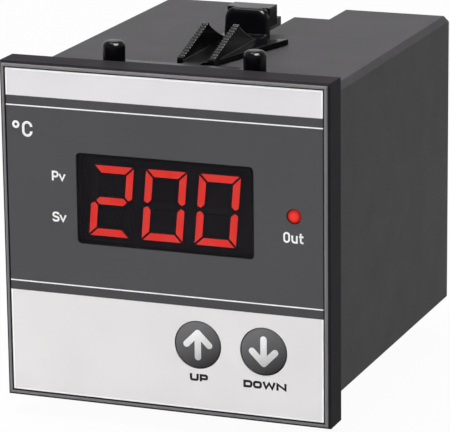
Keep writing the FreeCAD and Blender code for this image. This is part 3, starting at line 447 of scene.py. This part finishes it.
finish["film"] = printedFilm(labelPrint)
finish["window"] = smokedWindow(windowLook)
finish["lit"] = litSegments(litLook)
finish["lamp"] = litLamp(lampLook)
finish["key"] = printedKey("printedKeyFace", keyLook)
finish["arrow"] = printedKey("printedArrowInk", keyLook)
finish["whiteInk"] = screenInk("whiteScreenInk", inkLook)
finish["darkInk"] = screenInk("darkScreenInk", inkLook)
finish.update({name: brightMetal(name, look, metalWear) for name, look in metals.items()})
finish.update({name: layeredPart(name, look, layerRelief) for name, look in layered.items()})
finish["board"] = printedBoard(boardLook)

nodeFinish = {
    "housing": "mouldedAbsCase", "front_bezel": "mouldedAbsFrame", "front_label": "film",
    "display_window": "window", "display_module": "castResinModule", "segments_lit": "lit",
    "segments_dark": "castResinUnlit", "output_led": "lamp", "up_button": "key", "down_button": "key",
    "up_switch": "mouldedNylonSmall", "down_switch": "mouldedNylonSmall",
    "up_plunger": "mouldedAcetalPlunger", "down_plunger": "mouldedAcetalPlunger",
    "display_board": "board", "main_board": "board", "power_board": "board",
    "main_header": "mouldedNylonSmall", "power_header": "mouldedNylonSmall",
    "transformer_core": "stackedCoreSteel", "transformer_winding": "woundCopperWire",
    "relay": "mouldedPbtRelay", "supply_capacitor": "sleevedAluminiumCan",
    "microcontroller": "mouldedNylonSmall",
    "upper_terminal_block": "mouldedPbtTerminals", "lower_terminal_block": "mouldedPbtTerminals",
    "terminal_contacts": "tinnedBrassSheet", "terminal_washers": "zincPlatedSteel",
    "terminal_screws": "nickelPlatedSteel",
    "top_clamp": "mouldedNylonClamp", "bottom_clamp": "mouldedNylonClamp",
}
for nodeName, finishName in nodeFinish.items():
    slots = nodes[nodeName].data.materials
    slots.clear()
    slots.append(finish[finishName])
print("materials:", len(bpy.data.materials))


# a path with its corners rounded; points are (x, z, corner radius)
def roundedPath(points, closed):
    arcSteps = 8
    samePoint = 1e-4
    path = []
    count = len(points)
    for i, (x, z, radius) in enumerate(points):
        here = Vector((x, z))
        if radius == 0 or (not closed and i in (0, count - 1)):
            path.append(here)
            continue
        before = (Vector(points[i - 1][:2]) - here).normalized()
        after = (Vector(points[(i + 1) % count][:2]) - here).normalized()
        reach = radius / math.tan(before.angle(after) / 2)
        centre = here + (before + after).normalized() * (radius / math.sin(before.angle(after) / 2))
        start, end = here + before * reach - centre, here + after * reach - centre
        turn = start.angle_signed(end)
        for step in range(arcSteps + 1):
            path.append(centre + Matrix.Rotation(-turn * step / arcSteps, 2) @ start)
    # two rounds that meet give the same point twice
    return [p for p, last in zip(path, path[-1:] + path[:-1]) if (p - last).length > samePoint]


# the two sides of a stroke along a path, mitred at its corners
def strokeSides(path, width, closed):
    sharpest = 0.2  # keeps the mitre of a sharp corner short
    longestMiter = 1.7
    sides = []
    for i, here in enumerate(path):
        behind = path[i - 1] if closed or i else None
        ahead = path[(i + 1) % len(path)] if closed or i < len(path) - 1 else None
        runs = [(b - a).normalized() for a, b in ((behind, here), (here, ahead)) if a and b]
        along = sum(runs, Vector((0, 0))).normalized()
        across = Vector((-along.y, along.x))
        miter = min(1 / max(across.dot(Vector((-runs[0].y, runs[0].x))), sharpest), longestMiter)
        offset = across * (width / 2 * miter)
        sides.append((here + offset, here - offset))
    return sides


# letters as strokes of width s in units of the capital height: (points, closed); a, b and top are the lines
# that the left, right and upper strokes follow, r rounds a full bow and small is the small letters' height
def letterStrokes(letter, width, s):
    a, b, top, r = s / 2, width - s / 2, 1 - s / 2, (width - s) / 2
    small = 0.72
    soft = min(r, 0.32)
    shapes = {
        "O": [([(a, a, r), (b, a, r), (b, top, r), (a, top, r)], True)],
        "C": [([(b, 0.64, 0), (b, top, r), (a, top, r), (a, a, r), (b, a, r), (b, 0.36, 0)], False)],
        "S": [([(b, 0.73, 0), (b, top, 0.16), (a, top, 0.2), (a, 0.57, 0.16), (b, 0.43, 0.16),
                (b, a, 0.2), (a, a, 0.16), (a, 0.27, 0)], False)],
        "P": [([(a, 0, 0), (a, top, 0), (b, top, soft * 0.8), (b, 0.42, soft * 0.8), (s, 0.42, 0)],
               False)],
        "v": [([(0.04, small, 0), (width / 2, 0.1, 0), (width - 0.04, small, 0)], False)],
        "u": [([(a, small, 0), (a, a, soft), (b, a, 0), (b, small, 0)], False)],
        "t": [([(0.16, 0.95, 0), (0.16, a, 0.14), (width, a, 0)], False),
              ([(0, small - a, 0), (0.16 - a, small - a, 0)], False),
              ([(0.16 + a, small - a, 0), (width, small - a, 0)], False)],
        "ring": [([(a, a, r), (b, a, r), (b, b, r), (a, b, r)], True)],
        "U": [([(a, 1, 0), (a, a, 0.18), (b, a, 0.18), (b, 1, 0)], False)],
        "D": [([(a, a, 0), (b, a, 0.28), (b, top, 0.28), (a, top, 0)], True)],
        "wideO": [([(a, a, 0.24), (b, a, 0.24), (b, top, 0.24), (a, top, 0.24)], True)],
        "wideP": [([(a, 0, 0), (a, top, 0), (b, top, 0.18), (b, 0.36, 0.18), (s, 0.36, 0)], False)],
        "W": [([(a, 1, 0), (width * 0.27, a, 0), (width / 2, top, 0), (width * 0.73, a, 0),
                (width - a, 1, 0)], False)],
        "N": [([(a, 0, 0), (a, top, 0), (b, a, 0), (b, 1, 0)], False)],
    }
    return shapes[letter]


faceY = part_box("front_label")[0].y
# print on the film: letters with their widths, stroke and gap in capital heights, the capital height and the
# middle's place in mm
prints = {
    "whiteInk": [
        {"letters": [("O", 0.64), ("u", 0.6), ("t", 0.42)], "height": 2.25, "stroke": 0.168, "gap": 0.13,
         "at": (28.26, 3.85)},
        {"letters": [("P", 0.72), ("v", 0.68)], "height": 2.08, "stroke": 0.19, "gap": 0.05,
         "at": (-23.13, 12.52)},
        {"letters": [("S", 0.74), ("v", 0.68)], "height": 2.12, "stroke": 0.19, "gap": 0.04,
         "at": (-23.17, 3.79)},
        {"letters": [("C", 0.7)], "height": 3.35, "stroke": 0.165, "gap": 0.1, "at": (-29.93, 21.97)},
        {"letters": [("ring", 1.0)], "height": 1.65, "stroke": 0.3, "gap": 0.1, "at": (-32.49, 22.79)},
    ],
    "darkInk": [
        {"letters": [("U", 1.24), ("wideP", 1.18)], "height": 1.58, "stroke": 0.32, "gap": 0.12,
         "at": (7.41, -27.81)},
        {"letters": [("D", 1.25), ("wideO", 1.22), ("W", 1.84), ("N", 1.4)], "height": 1.6,
         "stroke": 0.32, "gap": 0.06, "at": (21.9, -27.98)},
    ],
}


# flat faces given by their corners, raised towards the front to a closed layer; front is in metres
def raisedLayer(name, rings, front, thick, material):
    weld = 2e-6
    mesh = bmesh.new()
    for ring in rings:
        mesh.faces.new([mesh.verts.new((x * mm, front + thick * mm, z * mm)) for x, z in ring])
    bmesh.ops.remove_doubles(mesh, verts=mesh.verts, dist=weld)
    raised = bmesh.ops.extrude_face_region(mesh, geom=mesh.faces[:])
    moved = [v for v in raised["geom"] if isinstance(v, bmesh.types.BMVert)]
    bmesh.ops.translate(mesh, verts=moved, vec=(0, -thick * mm, 0))
    bmesh.ops.recalc_face_normals(mesh, faces=mesh.faces)
    piece = meshObject(name, mesh)
    piece.data.materials.append(material)
    return piece


# the faces of a word's strokes, each with four corners in mm
def wordRings(word):
    rings = []
    size = word["height"]
    long = sum(width for _, width in word["letters"]) + word["gap"] * (len(word["letters"]) - 1)
    pen = word["at"][0] / size - long / 2
    for letter, width in word["letters"]:
        for points, closed in letterStrokes(letter, width, word["stroke"]):
            sides = strokeSides(roundedPath(points, closed), word["stroke"], closed)
            following = sides[1:] + sides[:1] if closed else sides[1:]
            for (left, right), (nextLeft, nextRight) in zip(sides, following):
                rings.append([((p.x + pen) * size, word["at"][1] + (p.y - 0.5) * size)
                              for p in (left, right, nextRight, nextLeft)])
        pen += width + word["gap"]
    return rings


for ink, words in prints.items():
    rings = [ring for word in words for ring in wordRings(word)]
    lettering = raisedLayer("lettering_" + ink, rings, faceY - inkLook["thick"] * mm, inkLook["thick"],
                            finish[ink])
    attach(lettering, "case")
print("lettering drawn")

# arrow on each key: head's tip, arms' ends and shaft's end from the key's middle, and stroke, in mm
arrowLook = {"tip": 3.25, "arm": 3.2, "tail": -3.3, "stroke": 1.4, "steps": 10, "tipSteps": 4}


def arc(centre, radius, start, end, steps):
    return [centre + radius * Vector((math.cos(t), math.sin(t)))
            for t in (start + (end - start) * k / steps for k in range(steps + 1))]


# one half of the rounded arrow's outline, from the tip down to the shaft's end; the other mirrors it
def arrowOutline(look):
    r, steps = look["stroke"] / 2, look["steps"]
    tip = Vector((0, look["tip"] - r))
    hand = Vector((look["arm"] - r, look["tip"] - look["arm"]))
    foot = Vector((0, look["tail"] + r))
    along = (hand - tip).normalized()
    outward = math.atan2(along.x, -along.y)
    inner = tip - r * Vector((math.cos(outward), math.sin(outward)))
    crotch = inner + along * ((r - inner.x) / along.x)
    half = arc(tip, r, math.pi / 2, outward, look["tipSteps"])
    half += arc(hand, r, outward, outward - math.pi, steps)
    half += [crotch] + arc(foot, r, 0, -math.pi / 2, steps)
    other = [Vector((-p.x, p.y)) for p in reversed(half[1:-1])]
    return half + other


for key, body, way in (("up_button", "up_key", 1), ("down_button", "down_key", -1)):
    low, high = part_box(key)
    middle = (low + high) / 2 / mm
    ring = [(middle.x + way * p.x, middle.z + way * p.y) for p in arrowOutline(arrowLook)]
    arrow = raisedLayer(key.split("_")[0] + "_arrow", [ring], low.y - inkLook["thick"] * mm,
                        inkLook["thick"], finish["arrow"])
    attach(arrow, body)
print("arrows drawn")

# the light pipes' faces, finer than the plain solids: a digit's size, step, lean and place, stroke and gap
# in mm, and the lit segments of each digit
digitLook = {"width": 9.0, "height": 15.02, "step": 11.7, "lean": 1.3, "at": (-0.12, 7.79),
             "stroke": 1.55, "gap": 0.45, "lit": ("abged", "abcdef", "abcdef")}


# corners of a digit's seven segments, by letter, from its lower left corner
def digitSegments(look):
    wide, tall, stroke = look["width"], look["height"], look["stroke"]
    slip, half = look["gap"] / math.sqrt(2), tall / 2
    top = [(slip, tall), (wide - slip, tall), (wide - stroke - slip, tall - stroke),
           (stroke + slip, tall - stroke)]
    right = [(wide, tall - slip), (wide, half + stroke / 2), (wide - stroke / 2, half + slip),
             (wide - stroke, half + stroke / 2 + slip), (wide - stroke, tall - stroke - slip)]
    bar = [(stroke / 2 + slip, half), (stroke + slip, half + stroke / 2),
           (wide - stroke - slip, half + stroke / 2), (wide - stroke / 2 - slip, half),
           (wide - stroke - slip, half - stroke / 2), (stroke + slip, half - stroke / 2)]
    lower = [(u, tall - v) for u, v in right]
    return {"a": top, "b": right, "c": lower, "d": [(u, tall - v) for u, v in top],
            "e": [(wide - u, v) for u, v in lower], "f": [(wide - u, v) for u, v in right], "g": bar}


# rings of the lit or the unlit segments of all digits, leaning to the right
def digitRings(look, lit):
    rings = []
    for place, letters in enumerate(look["lit"]):
        left = look["at"][0] + (place - 1) * look["step"] - look["width"] / 2
        low = look["at"][1] - look["height"] / 2
        for letter, corners in digitSegments(look).items():
            if (letter in letters) == lit:
                rings.append([(left + u + look["lean"] * (v / look["height"] - 0.5), low + v)
                              for u, v in corners])
    return rings


pipeSets = {
    "lit_light_pipes": {"lit": True, "node": "segments_lit", "finish": "lit", "slot": "segment_lit"},
    "unlit_light_pipes": {"lit": False, "node": "segments_dark", "finish": "castResinUnlit",
                          "slot": "segment_dark"},
}
for name, look in pipeSets.items():
    low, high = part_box(look["node"])
    rings = digitRings(digitLook, look["lit"])
    pipes = raisedLayer(name, rings, low.y, (high.y - low.y) / mm, finish[look["finish"]])
    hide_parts(look["node"])
    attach(pipes, "case")
print("digits drawn")


# slotted pan-head screws in place of the plain ones: sizes in mm, where a thread's flanks begin and end in
# shares of its pitch, and how far each screw's slot is turned in degrees
screwLook = {"rim": 0.9, "foot": 0.2, "slot": 0.8, "slotDepth": 1.0, "pitch": 0.5, "thread": 0.27,
             "flank": (0.25, 0.5, 0.65, 0.9), "steps": 48, "domeSteps": 10, "domeFullness": 0.6,
             "smoothBelow": 32, "turns": (12, 58, 171, 96, 34, 80, 5, 141, 22, 112)}


# the plain screws' middles, and the sizes of one: its head's and shank's radius, top, seat and end
def readScrews(node):
    mesh = bmesh.new()
    mesh.from_mesh(node.data)
    bmesh.ops.remove_doubles(mesh, verts=mesh.verts, dist=1e-6)
    seen, middles = set(), []
    for first in mesh.verts:
        if first in seen:
            continue
        seen.add(first)
        ring, group = [first], []
        while ring:
            here = ring.pop()
            group.append(here.co / mm)
            near = {e.other_vert(here) for e in here.link_edges} - seen
            seen |= near
            ring += near
        low, high = (Vector(pick(axis) for axis in zip(*group)) for pick in (min, max))
        middles.append(Vector(((low.x + high.x) / 2, 0, (low.z + high.z) / 2)))
    mesh.free()
    radii = [(Vector((p.x, 0, p.z)) - middles[-1]).length for p in group]
    spread = sorted({round(r, 2) for r in radii})
    shank = next(r for r in spread if r > 1)  # smaller ones belong to the slot
    seat = min(p.y for p, r in zip(group, radii) if abs(r - spread[-1]) < 0.01)
    size = {"head": spread[-1], "shank": shank, "top": high.y, "seat": seat, "end": low.y}
    return sorted(middles, key=lambda m: (round(m.z), m.x)), size


# smooth shading across edges that bend by less than the given angle
def smoothBelow(data, degrees):
    mesh = bmesh.new()
    mesh.from_mesh(data)
    for face in mesh.faces:
        face.smooth = True
    for edge in mesh.edges:
        edge.smooth = edge.calc_face_angle(0) < math.radians(degrees)
    mesh.to_mesh(data)
    mesh.free()


# one screw about the Y axis: thread, flat seat, upright rim and dome turned on a lathe, then the slot cut
def turnScrew(look, size):
    crest, root = size["shank"], size["shank"] - look["thread"]
    profile = [(0, size["end"]), (root, size["end"])]
    turns = int((size["seat"] - size["end"]) / look["pitch"]) - 1
    for k in range(turns):
        heights = [size["end"] + (k + share) * look["pitch"] for share in look["flank"]]
        profile += zip((root, crest, crest, root), heights)
    profile += [(root, size["seat"]), (size["head"] - look["foot"], size["seat"]),
                (size["head"], size["seat"] + look["foot"])]
    rimTop = size["seat"] + look["rim"]
    for k in range(look["domeSteps"] + 1):
        bend = math.pi / 2 * k / look["domeSteps"]
        profile.append((size["head"] * math.cos(bend) ** look["domeFullness"],
                        rimTop + (size["top"] - rimTop) * math.sin(bend)))
    mesh = bmesh.new()
    line = [mesh.verts.new((r * mm, y * mm, 0)) for r, y in profile]
    edges = [mesh.edges.new(pair) for pair in zip(line, line[1:])]
    bmesh.ops.spin(mesh, geom=line + edges, axis=(0, 1, 0), cent=(0, 0, 0), angle=math.tau,
                   steps=look["steps"])
    bmesh.ops.remove_doubles(mesh, verts=mesh.verts, dist=1e-7)
    bmesh.ops.recalc_face_normals(mesh, faces=mesh.faces)
    screw = meshObject("screw", mesh)
    mesh = bmesh.new()
    slotFloor = size["top"] - look["slotDepth"]
    cutterTall = 4  # mm, well past the head
    bmesh.ops.create_cube(mesh, size=mm,
                          matrix=Matrix.Translation((0, (slotFloor + cutterTall / 2) * mm, 0))
                          @ Matrix.Diagonal((4 * size["head"], cutterTall, look["slot"], 1)))
    cutter = meshObject("cutter", mesh)
    cut = screw.modifiers.new("slot", "BOOLEAN")
    cut.operation = "DIFFERENCE"
    cut.solver = "EXACT"
    cut.object = cutter
    made = bpy.data.meshes.new_from_object(screw.evaluated_get(bpy.context.evaluated_depsgraph_get()))
    for helper in (screw, cutter):
        bpy.data.objects.remove(helper)
    return made


# the clamps' thumb tab, rounder than the plain solid's: the hook's length behind it, its thickness, the
# solid's corner and the softer corner and front edge that take its place, in mm
tabLook = {"hook": 4.6, "thick": 2.0, "solidRound": 1.4, "round": 2.2, "edge": 0.8, "edgeSteps": 5,
           "smoothBelow": 20}


# a copy of a clamp with its tab's corners moved out to the larger round and its front edge rounded over
def roundedClamp(name, nodeName, up, look):
    slack = 0.01  # mm, within which a point lies on a plane
    low, high = (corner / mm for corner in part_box(nodeName))
    top = up * (high.z if up > 0 else low.z)
    back = high.y - look["hook"]
    mesh = bmesh.new()
    mesh.from_mesh(nodes[nodeName].data)
    bmesh.ops.remove_doubles(mesh, verts=mesh.verts, dist=1e-6)
    bmesh.ops.dissolve_limit(mesh, angle_limit=0.005, verts=mesh.verts, edges=mesh.edges)
    # behind the tab there is only its hook, which is as wide
    half = max(abs(v.co.x) for v in mesh.verts if v.co.y / mm > back + 1) / mm
    for v in mesh.verts:
        place = Vector((abs(v.co.x), up * v.co.z)) / mm
        spoke = place - Vector((half, top)) + Vector((1, 1)) * look["solidRound"]
        onTab = back - look["thick"] - slack < v.co.y / mm < back + slack
        if onTab and min(spoke) > -slack and abs(spoke.length - look["solidRound"]) < 2 * slack:
            moved = Vector((half, top)) - Vector((1, 1)) * look["round"]
            moved += spoke * (look["round"] / look["solidRound"])
            v.co.x = math.copysign(moved.x, v.co.x) * mm
            v.co.z = up * moved.y * mm
    deck = min(up * v.co.z / mm for v in mesh.verts if abs(v.co.y / mm - back) < slack)
    sharp = 0.5  # radians
    front = [e for e in mesh.edges if e.calc_face_angle(0) > sharp and e.is_convex
             and all(abs(v.co.y / mm - back + look["thick"]) < slack for v in e.verts)
             and sum(up * v.co.z / mm for v in e.verts) / 2 > deck]
    bmesh.ops.bevel(mesh, geom=front, offset=look["edge"] * mm, segments=look["edgeSteps"], profile=0.5,
                    affect="EDGES", clamp_overlap=True)
    bmesh.ops.recalc_face_normals(mesh, faces=mesh.faces)
    print(name, "tab edges rounded:", len(front))
    return meshObject(name, mesh)


for side, body, up in (("top", "upper_clamp", 1), ("bottom", "lower_clamp", -1)):
    clamp = roundedClamp(side + "_clamp_rounded", side + "_clamp", up, tabLook)
    # the copied normals belong to the plain solid
    stale = clamp.data.attributes.get("custom_normal")
    if stale:
        clamp.data.attributes.remove(stale)
    smoothBelow(clamp.data, tabLook["smoothBelow"])
    clamp.data.materials.append(finish["mouldedNylonClamp"])
    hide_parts(side + "_clamp")
    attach(clamp, body)

middles, screwSize = readScrews(nodes["terminal_screws"])
oneScrew = turnScrew(screwLook, screwSize)
allScrews = bmesh.new()
for middle, turn in zip(middles, screwLook["turns"]):
    placed = oneScrew.copy()
    placed.transform(Matrix.Translation(middle * mm) @ Matrix.Rotation(math.radians(turn), 4, "Y"))
    allScrews.from_mesh(placed)
    bpy.data.meshes.remove(placed)
screws = meshObject("pan_head_screws", allScrews)
smoothBelow(screws.data, screwLook["smoothBelow"])
screws.data.materials.append(finish["nickelPlatedSteel"])
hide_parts("terminal_screws")
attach(screws, "case")
print("screws turned:", len(middles))


# stage: pale floor under the lowest piece, white all round
stageLook = {"floor": ("#d4d4d4", "#d8d8d8"), "fibreMm": 6, "rough": 0.9, "size": 4.0, "below": 0.02,
             "white": 0.96, "ambient": 0.4}


# 1 for the rays that see the background as it is: from the camera, in a mirror or through glass
def seenDirectly(tree):
    path = addNode(tree, "LightPath")
    plain = addNode(tree, "Math", {0: path.outputs["Is Camera Ray"], 1: path.outputs["Is Glossy Ray"]},
                    operation="MAXIMUM")
    return addNode(tree, "Math", {0: plain.outputs[0], 1: path.outputs["Is Transmission Ray"]},
                   operation="MAXIMUM").outputs[0]


def buildFloor(look):
    level = cadBox[0].z - look["below"] * mm
    mesh = bmesh.new()
    bmesh.ops.create_grid(mesh, x_segments=8, y_segments=8, size=look["size"] / 2)
    bmesh.ops.translate(mesh, verts=mesh.verts, vec=(0, 0, level))
    floor = meshObject("floor", mesh)
    # white paper sweep: even and matt, so it only shows the object's own soft shadow
    material, tree, shader, place = startMaterial("whitePaperFloor")
    paper = mottledColour(tree, place, look["fibreMm"], 2.0, wideLevels, look["floor"])
    tree.links.new(paper, shader.inputs["Base Color"])
    setShader(shader, Roughness=look["rough"], Specular_IOR_Level=0.0)
    share = addNode(tree, "Math", {0: seenDirectly(tree), 1: look["white"]}, operation="MULTIPLY")
    white = addNode(tree, "Emission", {"Color": (1, 1, 1, 1), "Strength": 1.0})
    mixed = addNode(tree, "MixShader", {0: share.outputs[0], 1: shader.outputs["BSDF"],
                                        2: white.outputs["Emission"]})
    output = next(n for n in tree.nodes if n.type == "OUTPUT_MATERIAL")
    tree.links.new(mixed.outputs["Shader"], output.inputs["Surface"])
    floor.data.materials.append(material)


def buildWorld(look):
    world = bpy.data.worlds.new("studio")
    bpy.context.scene.world = world
    world.use_nodes = True
    tree = world.node_tree
    tree.nodes.clear()
    strength = addNode(tree, "MapRange", {"Value": seenDirectly(tree), "To Min": look["ambient"],
                                          "To Max": 1.0})
    sky = addNode(tree, "Background", {"Color": (1, 1, 1, 1), "Strength": strength.outputs["Result"]})
    addNode(tree, "OutputWorld", {"Surface": sky.outputs["Background"]})


buildFloor(stageLook)
buildWorld(stageLook)

# softboxes: what they look at, where they stand, their size in metres and power in watts
target = Vector((0, 34 * mm, 0))
softboxes = {
    "overheadKey": {"at": (-0.18, 0.02, 0.80), "size": (0.3, 0.3), "power": 5.0},
    "frontFill": {"at": (-0.25, -1.1, 0.35), "size": (0.6, 0.6), "power": 5.75, "showsInGloss": False},
    # a large reflector that shows only as the white highlight on polished edges
    "reflector": {"at": (0.32, -0.20, 0.78), "size": (0.5, 0.5), "power": 80.0, "lightsMatt": False},
}
for name, look in softboxes.items():
    lamp = bpy.data.lights.new(name, "AREA")
    lamp.shape = "RECTANGLE"
    lamp.size, lamp.size_y = look["size"]
    lamp.energy = look["power"]
    holder = bpy.data.objects.new(name, lamp)
    holder.location = look["at"]
    holder.visible_diffuse = look.get("lightsMatt", True)
    holder.visible_glossy = look.get("showsInGloss", True)
    holder.rotation_euler = (target - holder.location).to_track_quat("-Z", "Y").to_euler()
    bpy.context.scene.collection.objects.link(holder)

# camera at the photograph's angle, fitted on the edges of the front, the film and the case: its place
# in mm, its turn in degrees, its focus and the image's width in pixels, its sensor's width in mm and its
# near and far limits in metres
shot = {"eye": (239.66, -586.70, 174.01), "azimuth": 21.302, "elevation": 15.008, "roll": -0.652,
        "focus": 3184.7, "width": 450, "sensor": 36, "clip": (0.01, 20)}


def buildCamera(look):
    a, e, r = (math.radians(look[k]) for k in ("azimuth", "elevation", "roll"))
    back = Vector((math.sin(a) * math.cos(e), -math.cos(a) * math.cos(e), math.sin(e)))
    right = Vector((math.cos(a), math.sin(a), 0))
    up = back.cross(right)
    rolledRight = math.cos(r) * right + math.sin(r) * up
    rolledUp = math.cos(r) * up - math.sin(r) * right
    data = bpy.data.cameras.new("camera")
    data.sensor_width = look["sensor"]
    data.lens = look["focus"] / look["width"] * look["sensor"]
    data.clip_start, data.clip_end = look["clip"]
    camera = bpy.data.objects.new("camera", data)
    turned = Matrix((rolledRight, rolledUp, back)).transposed()
    camera.matrix_world = Matrix.LocRotScale(Vector(look["eye"]) * mm, turned.to_quaternion(), None)
    bpy.context.scene.collection.objects.link(camera)
    bpy.context.scene.camera = camera


buildCamera(shot)
bpy.context.scene.view_settings.view_transform = "Standard"
print("stage ready")
